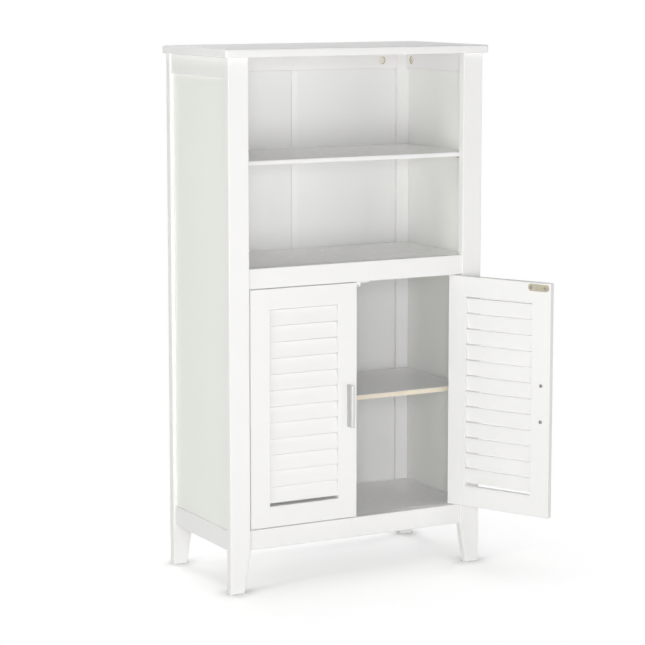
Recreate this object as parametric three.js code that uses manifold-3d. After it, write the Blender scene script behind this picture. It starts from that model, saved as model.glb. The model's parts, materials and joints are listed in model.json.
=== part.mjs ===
// Louvred door cabinet
//
// A narrow free-standing cupboard of white painted board on four tapered legs.
// The upper half is an open compartment with one loose shelf.
// The lower half has a second loose shelf behind two louvred doors that turn on pivot pins.
// Lengths are in millimetres, X runs to the right, Y to the back and Z up.
// The origin is the centre of the front left foot's underside.
// The left door is closed and the right door stands open.

import * as THREE from 'three';
import { mergeVertices } from 'three/addons/utils/BufferGeometryUtils.js';
import Module from 'manifold-3d';

const wasm = await Module();
wasm.setup();

// Whole cabinet, with width and depth taken over the legs
const height = 930;
const width = 498;
const depth = 248;
const floorClearance = 73;
const edge = 1;
const fitGap = 0.3;
const overrun = 5;

// Top board
const topThickness = 14;
const topSideOverhang = 8;
const topFrontOverhang = 8;
const topCornerRadius = 4;
const topEdgeRadius = 2;

// Legs
const legWidth = 38;
const legThickness = 15;
const footWidth = 27;

// Rails between the legs
const railHeight = 35;
const railThickness = 15;
const sideRailInset = 3.5;
const frontRailSetback = 3;
const pegRadius = 3;
const pegReach = 9;
const pegSpacing = 16;
const camBoreRadius = 7;
const camBoreDepth = 11;
const camDrop = 2.5;
const backCamFromLeg = 32;
const sideCamFromLeg = 18;

// Side and back panels, let into grooves
const grooveDepth = 5;
const sidePanelThickness = 5;
const sidePanelInset = 7.5;
const backPanelThickness = 3;
const stripWidth = 12;
const stripWall = 1;

// Fixed boards
const fixedBoardThickness = 12;
const midShelfDrop = 2;

// Loose shelves on pins, the upper measured down from the legs' tops and the lower up from the base board
const upperShelfDrop = 174.5;
const upperShelfThickness = 8;
const upperShelfFront = 16;
const lowerShelfRise = 212.5;
const lowerShelfThickness = 9;
const lowerShelfFront = 25;
const shelfSideGap = 0.5;
const shelfRearGap = 1;
const shelfPinRadius = 2.5;
const shelfPinReach = 8;
const shelfPinSpacing = 150;

// Doors, which set the height of the middle rail above them
const doorHeight = 414.7;
const doorThickness = 12;
const doorSetback = 1.5;
const doorHingeGap = 2;
const doorCentreGap = 4;
const doorTopGap = 0.8;
const doorBottomGap = 1.5;
const stileWidth = 36.5;
const doorRailHeight = 36.5;
const tenonThickness = 4;
const tenonHeight = 24;
const tenonReach = 8;
const shoulderGap = 0.05;
const rightDoorAngle = THREE.MathUtils.degToRad(116.5);

// Pivot pins of the doors
const pivotInset = 9;
const pivotRadius = 2.5;
const pivotClearance = 0.1;
const pivotReach = 6;
const pivotEndGap = 1;
const collarRadius = 4;

// Louvre slats
const slatWidth = 27.25;
const slatThickness = 5;
const slatRadius = 0.7;
const slatPitch = 28;
const slatTopGap = 1.5;
const slotDepth = 5;
const slotFlare = 2;
const slatTilt = THREE.MathUtils.degToRad(13);

// Door furniture
const handleWidth = 6;
const handleReach = 17;
const handleLength = 75;
const handleFromEdge = 17;
const handleRise = 200;
const handleEdge = 0.8;
const strikeLength = 41;
const strikeHeight = 12;
const strikeThickness = 1.2;
const strikeFromEdge = 2.7;
const strikeDrop = 9;

// Magnetic catch behind the middle rail
const catchFlangeWidth = 64;
const catchFlangeHeight = 22;
const catchFlangeThickness = 3.5;
const catchFlangeDrop = 4.5;
const catchWidth = 26;
const catchDrop = 11;
const catchDepth = 18;
const catchForward = 2.5;

// Number of facets on round forms
const pegSides = 12;
const pivotSides = 24;
const camSides = 18;
const arcSteps = 2;
const roundEndSteps = 6;

// Finishes
const whitePaint = { color: 0xf3f2ef, roughness: 0.42, metalness: 0 };
const panelPaint = { color: 0xeeede9, roughness: 0.5, metalness: 0 };
const satinMetal = { color: 0xb9b8b6, roughness: 0.35, metalness: 1 };
const platedSteel = { color: 0xa9a59c, roughness: 0.3, metalness: 1 };
const whitePlastic = { color: 0xf5f5f3, roughness: 0.3, metalness: 0 };

// Places that several pieces share, measured from the middle of the cabinet
const legTop = height - topThickness;
const legInnerX = width / 2 - legWidth;
const legMidY = depth / 2 - legThickness / 2;
const legInnerY = depth / 2 - legThickness;
const bottomRailTop = floorClearance + railHeight;
const topRailBottom = legTop - railHeight;
const sideRailX = width / 2 - sideRailInset - railThickness / 2;
const sidePanelX = width / 2 - sidePanelInset - sidePanelThickness / 2;
const sidePanelInnerX = sidePanelX - sidePanelThickness / 2;
const sidePanelReach = grooveDepth - fitGap;
const frontRailY = -depth / 2 + frontRailSetback + railThickness / 2;
const frontRailBackY = frontRailY + railThickness / 2;
const doorBottom = bottomRailTop + doorBottomGap;
const doorTop = doorBottom + doorHeight;
const midRailBottom = doorTop + doorTopGap;
const midRailTop = midRailBottom + railHeight;
const upperShelfTop = legTop - upperShelfDrop;
const lowerShelfTop = bottomRailTop + lowerShelfRise;

// Door places, measured from the door's own pivot axis
const doorWidth = legInnerX - doorHingeGap - doorCentreGap / 2;
const doorMidZ = (doorTop + doorBottom) / 2;
const handleZ = doorBottom + handleRise;
const pivotX = legInnerX - doorHingeGap - pivotInset;
const pivotY = -depth / 2 + doorSetback + doorThickness / 2;
const louvreWidth = doorWidth - 2 * stileWidth;
const louvreMidX = stileWidth + louvreWidth / 2 - pivotInset;
const louvreTop = doorTop - doorRailHeight;
const louvreHeight = doorHeight - 2 * doorRailHeight;
const freeEdgeX = doorWidth - pivotInset;

// Height of a tilted slat, and how many fit in the louvre opening
const slatRise = (slatWidth - 2 * slatRadius) * Math.cos(slatTilt)
  + (slatThickness - 2 * slatRadius) * Math.sin(slatTilt) + 2 * slatRadius;
const slatCount = Math.floor((louvreHeight - slatTopGap - slatRise) / slatPitch) + 1;

const sides = { left: -1, right: 1 };
const ends = { front: -1, rear: 1 };

// A geometry as a solid for joining and cutting
function solidOf(geometry) {
  const bare = geometry.clone();
  bare.deleteAttribute('normal');
  bare.deleteAttribute('uv');
  const merged = mergeVertices(bare);
  return new wasm.Manifold(new wasm.Mesh({
    numProp: 3,
    vertProperties: merged.attributes.position.array,
    triVerts: new Uint32Array(merged.index.array),
  }));
}

function geometryOf(solid) {
  const mesh = solid.getMesh();
  const geometry = new THREE.BufferGeometry();
  geometry.setAttribute('position', new THREE.BufferAttribute(mesh.vertProperties, 3));
  geometry.setIndex(new THREE.BufferAttribute(mesh.triVerts, 1));
  geometry.computeVertexNormals();
  return geometry;
}

function join(first, ...others) {
  return geometryOf(others.reduce((body, piece) => body.add(solidOf(piece)), solidOf(first)));
}

function cut(first, ...cutters) {
  return geometryOf(cutters.reduce((body, piece) => body.subtract(solidOf(piece)), solidOf(first)));
}

// A plain block round a given middle
function block(sizeX, sizeY, sizeZ, x = 0, y = 0, z = 0) {
  return new THREE.BoxGeometry(sizeX, sizeY, sizeZ).translate(x, y, z);
}

// A round rod round a given middle, along one axis
function rod(axis, radius, length, sideCount, x = 0, y = 0, z = 0) {
  const geometry = new THREE.CylinderGeometry(radius, radius, length, sideCount);
  if (axis === 'x') geometry.rotateZ(Math.PI / 2);
  if (axis === 'z') geometry.rotateX(Math.PI / 2);
  return geometry.translate(x, y, z);
}

function outline(points) {
  return new THREE.Shape(points.map(([x, y]) => new THREE.Vector2(x, y)));
}

// A rectangle with rounded corners, drawn round the origin, which may flare out at its top left corner
function roundedRectangle(sizeX, sizeY, radius, flare = 0) {
  const x = sizeX / 2 - radius;
  const y = sizeY / 2 - radius;
  const quarter = Math.PI / 2;
  const shape = new THREE.Shape();
  shape.absarc(x, y, radius, 0, quarter);
  shape.absarc(-x - flare, y, radius, quarter, 2 * quarter);
  shape.absarc(-x, -y, radius, 2 * quarter, 3 * quarter);
  shape.absarc(x, -y, radius, 3 * quarter, 4 * quarter);
  return shape;
}

// A shape extruded along Z round the origin, with its end edges eased
function extrudeZ(shape, length, ease = 0, easeSteps = 1, curveSegments = arcSteps) {
  const geometry = new THREE.ExtrudeGeometry(shape, {
    depth: length - 2 * ease,
    bevelEnabled: ease > 0,
    bevelThickness: ease,
    bevelSize: ease,
    bevelOffset: -ease,
    bevelSegments: easeSteps,
    curveSegments,
  });
  return geometry.translate(0, 0, ease - length / 2);
}

// The same with the shape's X and Y standing along Y and Z, extruded along X
function extrudeX(shape, length) {
  const turn = new THREE.Matrix4().makeRotationFromEuler(new THREE.Euler(Math.PI / 2, 0, Math.PI / 2, 'ZYX'));
  return extrudeZ(shape, length).applyMatrix4(turn);
}

// The same with the shape's X and Y standing along X and Z, extruded along Y
function extrudeY(shape, length, ease = 0, curveSegments = arcSteps) {
  return extrudeZ(shape, length, ease, 1, curveSegments).rotateX(Math.PI / 2);
}

// A rectangle round the origin whose corners are eased on the right, on the left or on both
function easedRectangle(sizeX, sizeY, rightEase = edge, leftEase = edge) {
  const x = sizeX / 2;
  const y = sizeY / 2;
  const corner = (ease) => (ease > 0 ? [[x, y - ease], [x - ease, y]] : [[x, y]]);
  const flipped = (points, signX, signY) => points.map(([px, py]) => [signX * px, signY * py]);
  const right = corner(rightEase);
  const left = corner(leftEase);
  return outline([
    ...flipped(right, 1, -1).reverse(), ...right,
    ...flipped(left, -1, 1).reverse(), ...flipped(left, -1, -1),
  ]);
}

// A board with every edge eased
function board(sizeX, sizeY, sizeZ, ease = edge) {
  return extrudeZ(easedRectangle(sizeX, sizeY, ease, ease), sizeZ, ease);
}

// An outline that is the same on both sides of X = 0, given its right half from front to back
function mirroredOutline(rightHalf) {
  const leftHalf = rightHalf.map(([x, y]) => [-x, y]).reverse();
  return outline([...rightHalf, ...leftHalf]);
}

function piece(name, geometry, finish, x = 0, y = 0, z = 0) {
  const mesh = new THREE.Mesh(geometry, new THREE.MeshStandardMaterial(finish));
  mesh.name = name;
  mesh.position.set(x, y, z);
  return mesh;
}

// Top board, with rounded corners and edges
function topBoard() {
  const sizeX = width + 2 * topSideOverhang;
  const sizeY = depth + topFrontOverhang;
  const face = roundedRectangle(sizeX, sizeY, topCornerRadius);
  const geometry = extrudeZ(face, topThickness, topEdgeRadius, arcSteps);
  return piece('top_board', geometry, whitePaint, 0, -topFrontOverhang / 2, height - topThickness / 2);
}

// Holes in a leg for the two pegs at a rail's end
function pegHoles(axis, x, y, midZ) {
  const radius = pegRadius + fitGap;
  const length = 2 * (pegReach + fitGap);
  return [-1, 1].map((half) => rod(axis, radius, length, pegSides, x, y, midZ + half * pegSpacing / 2));
}

// A leg, straight outside and tapered inside below the rails, with its grooves and peg holes
function leg(endName, sideName) {
  const side = sides[sideName];
  const end = ends[endName];
  const outerX = side * width / 2;
  const innerX = side * legInnerX;
  const face = outline([
    [outerX, 0], [outerX - side * footWidth, 0], [innerX, floorClearance], [innerX, legTop], [outerX, legTop],
  ]);
  const body = extrudeZ(face, legThickness, edge).rotateX(Math.PI / 2).translate(0, end * legMidY, 0);
  const grooveHeight = topRailBottom - bottomRailTop + 2 * grooveDepth;
  const grooveMidZ = (topRailBottom + bottomRailTop) / 2;
  const sideGroove = block(
    sidePanelThickness + 2 * fitGap, 2 * grooveDepth, grooveHeight,
    side * sidePanelX, end * legInnerY, grooveMidZ,
  );
  const crossRailMidZ = end === ends.front ? (midRailBottom + midRailTop) / 2 : legTop - railHeight / 2;
  const bottomMidZ = floorClearance + railHeight / 2;
  const cutters = [
    sideGroove,
    ...pegHoles('y', side * sideRailX, end * legInnerY, legTop - railHeight / 2),
    ...pegHoles('y', side * sideRailX, end * legInnerY, bottomMidZ),
    ...pegHoles('x', innerX, end * legMidY, crossRailMidZ),
    ...pegHoles('x', innerX, end * legMidY, bottomMidZ),
  ];
  if (end === ends.rear) {
    cutters.push(block(
      2 * grooveDepth, backPanelThickness + 2 * fitGap, grooveHeight, innerX, legMidY, grooveMidZ,
    ));
  }
  return piece(`${endName}_${sideName}_leg`, cut(body, ...cutters), whitePaint);
}

// Bores for the two cam locks near a rail's ends, cut from its inner face
function camBores(axis, reach, faceX, faceY) {
  return [-1, 1].map((half) => rod(
    axis, camBoreRadius, 2 * camBoreDepth, camSides,
    axis === 'x' ? faceX : half * reach, axis === 'x' ? half * reach : faceY, -camDrop,
  ));
}

// A rail from front to back with pegs at both ends, a groove for the side panel and bores for its cam locks
function sideRail(levelName, sideName) {
  const side = sides[sideName];
  const length = 2 * legInnerY;
  const rods = [-1, 1].map((half) => (
    rod('y', pegRadius, length + 2 * pegReach, pegSides, 0, 0, half * pegSpacing / 2)
  ));
  const body = join(board(railThickness, length, railHeight), ...rods);
  const up = levelName === 'bottom' ? 1 : -1;
  const groove = block(
    sidePanelThickness + 2 * fitGap, length + 2 * overrun, 2 * grooveDepth,
    side * (sidePanelX - sideRailX), 0, up * railHeight / 2,
  );
  const bores = camBores('x', legInnerY - sideCamFromLeg, -side * railThickness / 2, 0);
  const midZ = levelName === 'bottom' ? floorClearance + railHeight / 2 : legTop - railHeight / 2;
  const geometry = cut(body, groove, ...bores);
  return piece(`${sideName}_side_${levelName}_rail`, geometry, whitePaint, side * sideRailX, 0, midZ);
}

// A rail from left to right with pegs that stand in the middle of the legs
function crossRail(pegY) {
  const length = 2 * legInnerX;
  const rods = [-1, 1].map((half) => (
    rod('x', pegRadius, length + 2 * pegReach, pegSides, 0, pegY, half * pegSpacing / 2)
  ));
  return join(board(length, railThickness, railHeight), ...rods);
}

// A back rail with a groove for the back panels and bores for its cam locks
function backRail(levelName) {
  const up = levelName === 'bottom' ? 1 : -1;
  const groove = block(
    2 * (legInnerX + overrun), backPanelThickness + 2 * fitGap, 2 * grooveDepth, 0, 0, up * railHeight / 2,
  );
  const bores = camBores('y', legInnerX - backCamFromLeg, 0, -railThickness / 2);
  const midZ = levelName === 'bottom' ? floorClearance + railHeight / 2 : legTop - railHeight / 2;
  return piece(`back_${levelName}_rail`, cut(crossRail(0), groove, ...bores), whitePaint, 0, legMidY, midZ);
}

// A front rail with a bore for each door's pivot pin, in its upper or its lower face
function frontRail(name, bottomZ, up, boreReach) {
  const bores = Object.values(sides).map((side) => rod(
    'z', pivotRadius + pivotClearance, 2 * boreReach, pivotSides,
    side * pivotX, pivotY - frontRailY, up * railHeight / 2,
  ));
  const body = crossRail(-legMidY - frontRailY);
  return piece(name, cut(body, ...bores), whitePaint, 0, frontRailY, bottomZ + railHeight / 2);
}

// A side panel with the four pins that carry the loose shelves
function sidePanel(sideName) {
  const side = sides[sideName];
  const panel = block(
    sidePanelThickness,
    2 * (legInnerY + sidePanelReach),
    topRailBottom - bottomRailTop + 2 * sidePanelReach,
    side * sidePanelX, 0, (topRailBottom + bottomRailTop) / 2,
  );
  const undersides = [upperShelfTop - upperShelfThickness, lowerShelfTop - lowerShelfThickness];
  const pins = undersides.flatMap((underside) => [-1, 1].map((half) => rod(
    'x', shelfPinRadius, 2 * shelfPinReach, pegSides,
    side * (sidePanelInnerX), half * shelfPinSpacing / 2, underside - shelfPinRadius - fitGap,
  )));
  const outside = block(
    sidePanelInset * 2, depth, height, side * (sidePanelX + sidePanelThickness / 2 + sidePanelInset), 0, height / 2,
  );
  return piece(`${sideName}_side_panel`, cut(join(panel, ...pins), outside), panelPaint);
}

// One half of the thin back, between the joining strip and a leg
function backPanel(sideName) {
  const side = sides[sideName];
  const innerX = stripWall / 2 + fitGap;
  const outerX = legInnerX + grooveDepth - fitGap;
  const geometry = block(
    outerX - innerX, backPanelThickness, topRailBottom - bottomRailTop + 2 * (grooveDepth - fitGap),
    side * (outerX + innerX) / 2, legMidY, (topRailBottom + bottomRailTop) / 2,
  );
  return piece(`back_panel_${sideName}`, geometry, panelPaint);
}

// The H-shaped strip that joins the two halves of the back
function backStrip() {
  const x = stripWidth / 2;
  const web = stripWall / 2;
  const channel = backPanelThickness / 2 + fitGap;
  const y = channel + stripWall;
  const profile = outline([
    [-x, -y], [x, -y], [x, -channel], [web, -channel], [web, channel], [x, channel],
    [x, y], [-x, y], [-x, channel], [-web, channel], [-web, -channel], [-x, -channel],
  ]);
  const length = topRailBottom - bottomRailTop - 2 * fitGap;
  const midZ = (topRailBottom + bottomRailTop) / 2;
  return piece('back_joining_strip', extrudeZ(profile, length), whitePlastic, 0, legMidY, midZ);
}

// The fixed shelf behind the middle rail, notched round the rear legs
function middleShelf() {
  const backY = legMidY - backPanelThickness / 2 - fitGap - stripWall - fitGap;
  const face = mirroredOutline([
    [legInnerX + fitGap, frontRailBackY],
    [legInnerX + fitGap, -legInnerY],
    [sidePanelInnerX - fitGap, -legInnerY],
    [sidePanelInnerX - fitGap, legInnerY - fitGap],
    [legInnerX - fitGap, legInnerY - fitGap],
    [legInnerX - fitGap, backY],
  ]);
  const geometry = extrudeZ(face, fixedBoardThickness, edge);
  return piece('middle_shelf', geometry, whitePaint, 0, 0, midRailTop - midShelfDrop - fixedBoardThickness / 2);
}

// The bottom of the cupboard, flush with the top of the bottom rails
function baseBoard() {
  const sideX = sideRailX - railThickness / 2;
  const face = mirroredOutline([
    [legInnerX + fitGap, frontRailBackY],
    [legInnerX + fitGap, -legInnerY],
    [sideX, -legInnerY],
    [sideX, legInnerY],
  ]);
  const geometry = extrudeZ(face, fixedBoardThickness, edge);
  return piece('base_board', geometry, whitePaint, 0, 0, bottomRailTop - fixedBoardThickness / 2);
}

// A loose shelf on its four pins, set back from the front by a given distance
function looseShelf(name, topZ, thickness, frontDistance) {
  const frontY = -depth / 2 + frontDistance;
  const backY = legInnerY - shelfRearGap;
  const geometry = board(2 * (sidePanelInnerX - shelfSideGap), backY - frontY, thickness);
  return piece(name, geometry, whitePaint, 0, (frontY + backY) / 2, topZ - thickness / 2);
}

// The double magnetic catch: a flange on the rail's rear face and a body that hangs below it
function magneticCatch() {
  const flangeBottom = midRailBottom - catchFlangeDrop;
  const flange = board(catchFlangeWidth, catchFlangeThickness, catchFlangeHeight, catchFlangeThickness / 4)
    .translate(0, frontRailBackY + catchFlangeThickness / 2, flangeBottom + catchFlangeHeight / 2);
  const bodyHeight = catchDrop - fitGap;
  const body = board(catchWidth, catchDepth, bodyHeight, catchFlangeThickness / 4).translate(
    0, frontRailBackY - catchForward + catchDepth / 2, midRailBottom - catchDrop + bodyHeight / 2,
  );
  return piece('magnetic_catch', join(flange, body), whitePlastic);
}

// A slat's form, leaning so that its top is inside the door, or a larger one that flares to the front at its top
function slatBody(length, growth = 0, flare = 0) {
  const section = roundedRectangle(
    slatThickness + 2 * growth, slatWidth + 2 * growth, slatRadius + growth, flare,
  );
  return extrudeX(section, length).rotateX(-slatTilt);
}

// Middle height of each slat, from the top down
function slatHeights() {
  const first = louvreTop - slatTopGap - slatRise / 2;
  return Array.from({ length: slatCount }, (unused, index) => first - index * slatPitch);
}

// A door stile with a leaning slot for each slat, wider at its top so that the slat slips in,
// and a mortise for each door rail
// Its outer edge is eased and its louvre edge is square, so that the rails meet it flush
function stile(middleX, louvreEdgeX) {
  const outerIsRight = middleX > louvreEdgeX;
  const section = easedRectangle(stileWidth, doorThickness, outerIsRight ? edge : 0, outerIsRight ? 0 : edge);
  const body = extrudeZ(section, doorHeight, edge).translate(middleX, 0, doorMidZ);
  const slots = slatHeights().map((z) => (
    slatBody(2 * slotDepth, fitGap, slotFlare).translate(louvreEdgeX, 0, z)
  ));
  const mortises = [doorTop - doorRailHeight / 2, doorBottom + doorRailHeight / 2].map((z) => block(
    2 * tenonReach, tenonThickness + 2 * fitGap, tenonHeight + 2 * fitGap, louvreEdgeX, 0, z,
  ));
  return cut(body, ...slots, ...mortises);
}

// The pivot pins on the hinge stile, each with a collar that keeps the door off the rail
function pivotPins() {
  return [[doorTop, doorTopGap], [doorBottom, doorBottomGap]].flatMap(([z, gap]) => [
    rod('z', pivotRadius, 2 * (gap + pivotReach), pivotSides, 0, 0, z),
    rod('z', collarRadius, 2 * (gap - fitGap), pivotSides, 0, 0, z),
  ]);
}

function hingeStile(sideName) {
  const side = sides[sideName];
  const middleX = side * (pivotInset - stileWidth / 2);
  const louvreEdgeX = side * (pivotInset - stileWidth);
  const geometry = join(stile(middleX, louvreEdgeX), ...pivotPins());
  return piece(`${sideName}_door_hinge_stile`, geometry, whitePaint);
}

function freeStile(sideName) {
  const side = sides[sideName];
  const geometry = stile(side * (stileWidth / 2 - freeEdgeX), side * (stileWidth - freeEdgeX));
  return piece(`${sideName}_door_free_stile`, geometry, whitePaint);
}

// A door rail with a tenon into each stile
function doorRail(sideName, levelName) {
  const side = sides[sideName];
  const body = extrudeX(easedRectangle(doorThickness, doorRailHeight), louvreWidth - 2 * shoulderGap);
  const tenon = block(louvreWidth + 2 * (tenonReach - fitGap), tenonThickness, tenonHeight);
  const z = levelName === 'top' ? doorTop - doorRailHeight / 2 : doorBottom + doorRailHeight / 2;
  const name = `${sideName}_door_${levelName}_rail`;
  return piece(name, join(body, tenon), whitePaint, -side * louvreMidX, 0, z);
}

function slats(sideName) {
  const side = sides[sideName];
  const length = louvreWidth + 2 * (slotDepth - fitGap);
  return slatHeights().map((z, index) => piece(
    `${sideName}_door_slat_${String(index + 1).padStart(2, '0')}`,
    slatBody(length), whitePaint, -side * louvreMidX, 0, z,
  ));
}

// The blade handle on the outer face of the free stile
function handle(sideName) {
  const side = sides[sideName];
  const geometry = board(handleWidth, handleReach, handleLength, handleEdge);
  const y = -doorThickness / 2 - fitGap - handleReach / 2;
  return piece(`${sideName}_handle`, geometry, satinMetal, side * (handleFromEdge - freeEdgeX), y, handleZ);
}

// The steel plate that the magnetic catch holds, on the inner face
function strikePlate(sideName) {
  const side = sides[sideName];
  const face = roundedRectangle(strikeLength, strikeHeight, strikeHeight / 2 - edge / 2);
  const geometry = extrudeY(face, strikeThickness, 0, roundEndSteps);
  const x = side * (strikeFromEdge + strikeLength / 2 - freeEdgeX);
  const y = doorThickness / 2 + fitGap + strikeThickness / 2;
  return piece(`${sideName}_strike_plate`, geometry, platedSteel, x, y, doorTop - strikeDrop);
}

// A whole door, turned about its pivot
function door(sideName, angle) {
  const group = new THREE.Group();
  group.position.set(sides[sideName] * pivotX, pivotY, 0);
  group.rotation.z = sides[sideName] * angle;
  group.add(hingeStile(sideName), freeStile(sideName));
  group.add(doorRail(sideName, 'top'), doorRail(sideName, 'bottom'));
  group.add(...slats(sideName), handle(sideName), strikePlate(sideName));
  return group;
}

function carcass() {
  const group = new THREE.Group();
  group.add(topBoard());
  for (const sideName of Object.keys(sides)) {
    for (const endName of Object.keys(ends)) group.add(leg(endName, sideName));
    group.add(sideRail('top', sideName), sideRail('bottom', sideName));
    group.add(sidePanel(sideName), backPanel(sideName));
  }
  const boreReach = pivotReach + pivotEndGap;
  group.add(backRail('top'), backRail('bottom'), backStrip());
  group.add(frontRail('front_middle_rail', midRailBottom, -1, boreReach));
  group.add(frontRail('front_bottom_rail', floorClearance, 1, boreReach));
  group.add(middleShelf(), baseBoard(), magneticCatch());
  group.add(looseShelf('upper_shelf', upperShelfTop, upperShelfThickness, upperShelfFront));
  group.add(looseShelf('lower_shelf', lowerShelfTop, lowerShelfThickness, lowerShelfFront));
  return group;
}

// The whole cabinet, moved so that the front left foot's middle is at the origin
const cabinet = new THREE.Group();
cabinet.position.set(width / 2 - footWidth / 2, legMidY, 0);
cabinet.add(carcass(), door('left', 0), door('right', rightDoorAngle));

export default cabinet;
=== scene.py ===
# %% [markdown]
# # A white cupboard with louvred doors
# The real piece is a narrow free-standing cupboard of fibreboard under satin white paint.
# It stands on four tapered legs, with an open compartment above and two louvred doors below.
# Its boards, rails, slats and doors are already modelled in CAD, so they are loaded here as a fixed frame.
# A whole new model could be drawn over that frame, but shapes that are right already only need a good finish.
# So this lesson keeps the CAD pieces, paints them, and adds small hardware: screws, cam locks and poles.

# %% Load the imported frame
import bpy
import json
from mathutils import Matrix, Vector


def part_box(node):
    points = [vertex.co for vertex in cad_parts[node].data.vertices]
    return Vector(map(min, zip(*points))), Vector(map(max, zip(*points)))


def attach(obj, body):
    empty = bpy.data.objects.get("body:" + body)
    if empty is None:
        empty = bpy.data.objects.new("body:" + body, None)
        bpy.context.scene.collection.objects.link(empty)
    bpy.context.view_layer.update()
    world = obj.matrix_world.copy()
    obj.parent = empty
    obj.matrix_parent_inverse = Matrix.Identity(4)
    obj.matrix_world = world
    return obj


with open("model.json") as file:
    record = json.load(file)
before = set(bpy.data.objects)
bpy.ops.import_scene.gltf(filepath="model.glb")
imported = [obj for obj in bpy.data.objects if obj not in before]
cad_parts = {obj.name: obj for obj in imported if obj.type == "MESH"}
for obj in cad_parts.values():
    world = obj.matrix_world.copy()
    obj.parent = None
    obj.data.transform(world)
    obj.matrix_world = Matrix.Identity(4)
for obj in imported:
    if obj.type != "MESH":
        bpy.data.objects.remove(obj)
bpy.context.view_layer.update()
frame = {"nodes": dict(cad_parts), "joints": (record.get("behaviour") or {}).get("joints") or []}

# %% [markdown]
# ## Units, colours and nodes
# Blender counts in metres, and a cabinet maker in millimetres, so one factor turns the second into the first.
# Colours are written as sRGB hex values, as a paint chart gives them, while shaders reckon in linear light.
# One function turns the hex value to linear, so that no colour is converted twice or forgotten.
# Node trees could be wired by hand in the editor, but code is easier to read again and to change.
# One small function adds a node with its settings and its links, and every tree below is built with it.

# %% Millimetres and linear colours
import json
import math
import bpy
from mathutils import Matrix, Vector

mm = 0.001


def linear(hex_code):
    """The linear colour of an sRGB hex value, with full alpha."""
    channels = [int(hex_code[start:start + 2], 16) / 255 for start in (0, 2, 4)]
    return (*(c / 12.92 if c <= 0.04045 else ((c + 0.055) / 1.055) ** 2.4 for c in channels), 1.0)


print("mid grey 808080 is", round(linear("808080")[0], 3), "in linear light")


# %% One function that adds a node
def add(tree, kind, inputs=None, **settings):
    """Adds a node, sets its properties, and fills each input with a value, a link or a list of links."""
    node = tree.nodes.new(kind)
    for name, value in settings.items():
        setattr(node, name, value)
    for key, value in (inputs or {}).items():
        for source in value if isinstance(value, list) else [value]:
            if isinstance(source, bpy.types.NodeSocket):
                tree.links.new(source, node.inputs[key])
            else:
                node.inputs[key].default_value = source
    return node


def new_material(name):
    """An empty node material and its tree."""
    material = bpy.data.materials.new(name)
    material.use_nodes = True
    material.node_tree.nodes.clear()
    return material, material.node_tree


print("two helpers: add and new_material")

# %% [markdown]
# ## Camera
# The photograph was taken from the left of the cupboard, a little above its top, with a long lens.
# A camera could be placed by eye, but straight edges at known heights pin it down far better.
# Its place, turn and lens below were fitted to the corners of the legs, rails, doors and top board.
# The optical axis lies above the middle of the frame, and a small downward shift stands for that crop.

# %% Camera fitted to the cupboard's corners
# The middle of the cupboard, in metres from the middle of its front left foot
middle = Vector((0.2355, 0.1165, 0.465))
camera_data = bpy.data.cameras.new("view_camera")
camera_data.sensor_width = 36
camera_data.lens = 127.53
camera_data.shift_y = -0.06
camera = bpy.data.objects.new("view_camera", camera_data)
camera.location = (-1.6800, -3.4272, 1.0588)
camera.rotation_euler = (math.radians(82.20), 0, math.radians(-28.34))
bpy.context.scene.collection.objects.link(camera)
bpy.context.scene.camera = camera
print("camera", round((camera.location - middle).length, 2), "m from the middle")

# %% [markdown]
# ## Studio
# The real cupboard stood on a white sweep in soft light from all round, the strongest from the left front.
# An image of a studio could light the scene, but a plain sky and a few soft lamps are simpler to balance.
# Seven soft boxes stand round the cupboard. Those in front hang low, so that their light reaches into it.
# The two from the left are a trace greener, as every face turned that way is in the photograph.
# The sky looks white to the camera and to reflections, and gives the object only a low even light.
# The floor looks white too, but keeps the cupboard's soft shadow and grows darker close around each foot.
# To the soft light that bounces about, it is a pale sweep with a low glow, which lifts the undersides.

# %% Sky that looks white but lights little
bpy.context.scene.view_settings.view_transform = "Standard"
sky_light = 0.10
world = bpy.data.worlds.new("studio_sky")
world.use_nodes = True
world.node_tree.nodes.clear()
bpy.context.scene.world = world


def seen_directly(tree):
    """1 for rays from the camera, mirrors and glass, 0 for the soft light that bounces about."""
    path = add(tree, "ShaderNodeLightPath").outputs
    mirror = add(tree, "ShaderNodeMath", {0: path["Is Glossy Ray"], 1: path["Is Transmission Ray"]},
                 operation="MAXIMUM").outputs[0]
    return add(tree, "ShaderNodeMath", {0: path["Is Camera Ray"], 1: mirror}, operation="MAXIMUM").outputs[0]


sky = world.node_tree
sky_soft = add(sky, "ShaderNodeBackground", {"Color": linear("FFFFFF"), "Strength": sky_light})
sky_white = add(sky, "ShaderNodeBackground", {"Color": linear("FFFFFF"), "Strength": 1.0})
sky_mix = add(sky, "ShaderNodeMixShader",
              {0: seen_directly(sky), 1: sky_soft.outputs[0], 2: sky_white.outputs[0]})
add(sky, "ShaderNodeOutputWorld", {"Surface": sky_mix.outputs[0]})
print("sky strength on the object", sky_light)

# %% Soft lamps
left_tint = linear("FDFFF8")[:3]


def soft_lamp(name, azimuth, elevation, width, height, watts, distance=3.0, colour=(1, 1, 1)):
    """A soft box that faces the cupboard, its azimuth counted from the front towards the right."""
    data = bpy.data.lights.new(name, "AREA")
    data.shape = "RECTANGLE"
    data.size = width
    data.size_y = height
    data.energy = watts
    data.color = colour
    lamp = bpy.data.objects.new(name, data)
    turn = math.radians(azimuth)
    rise = math.radians(elevation)
    way = Vector((math.sin(turn) * math.cos(rise), -math.cos(turn) * math.cos(rise), math.sin(rise)))
    lamp.location = middle + way * distance
    lamp.rotation_euler = way.to_track_quat("Z", "Y").to_euler()
    bpy.context.scene.collection.objects.link(lamp)
    return lamp


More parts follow.
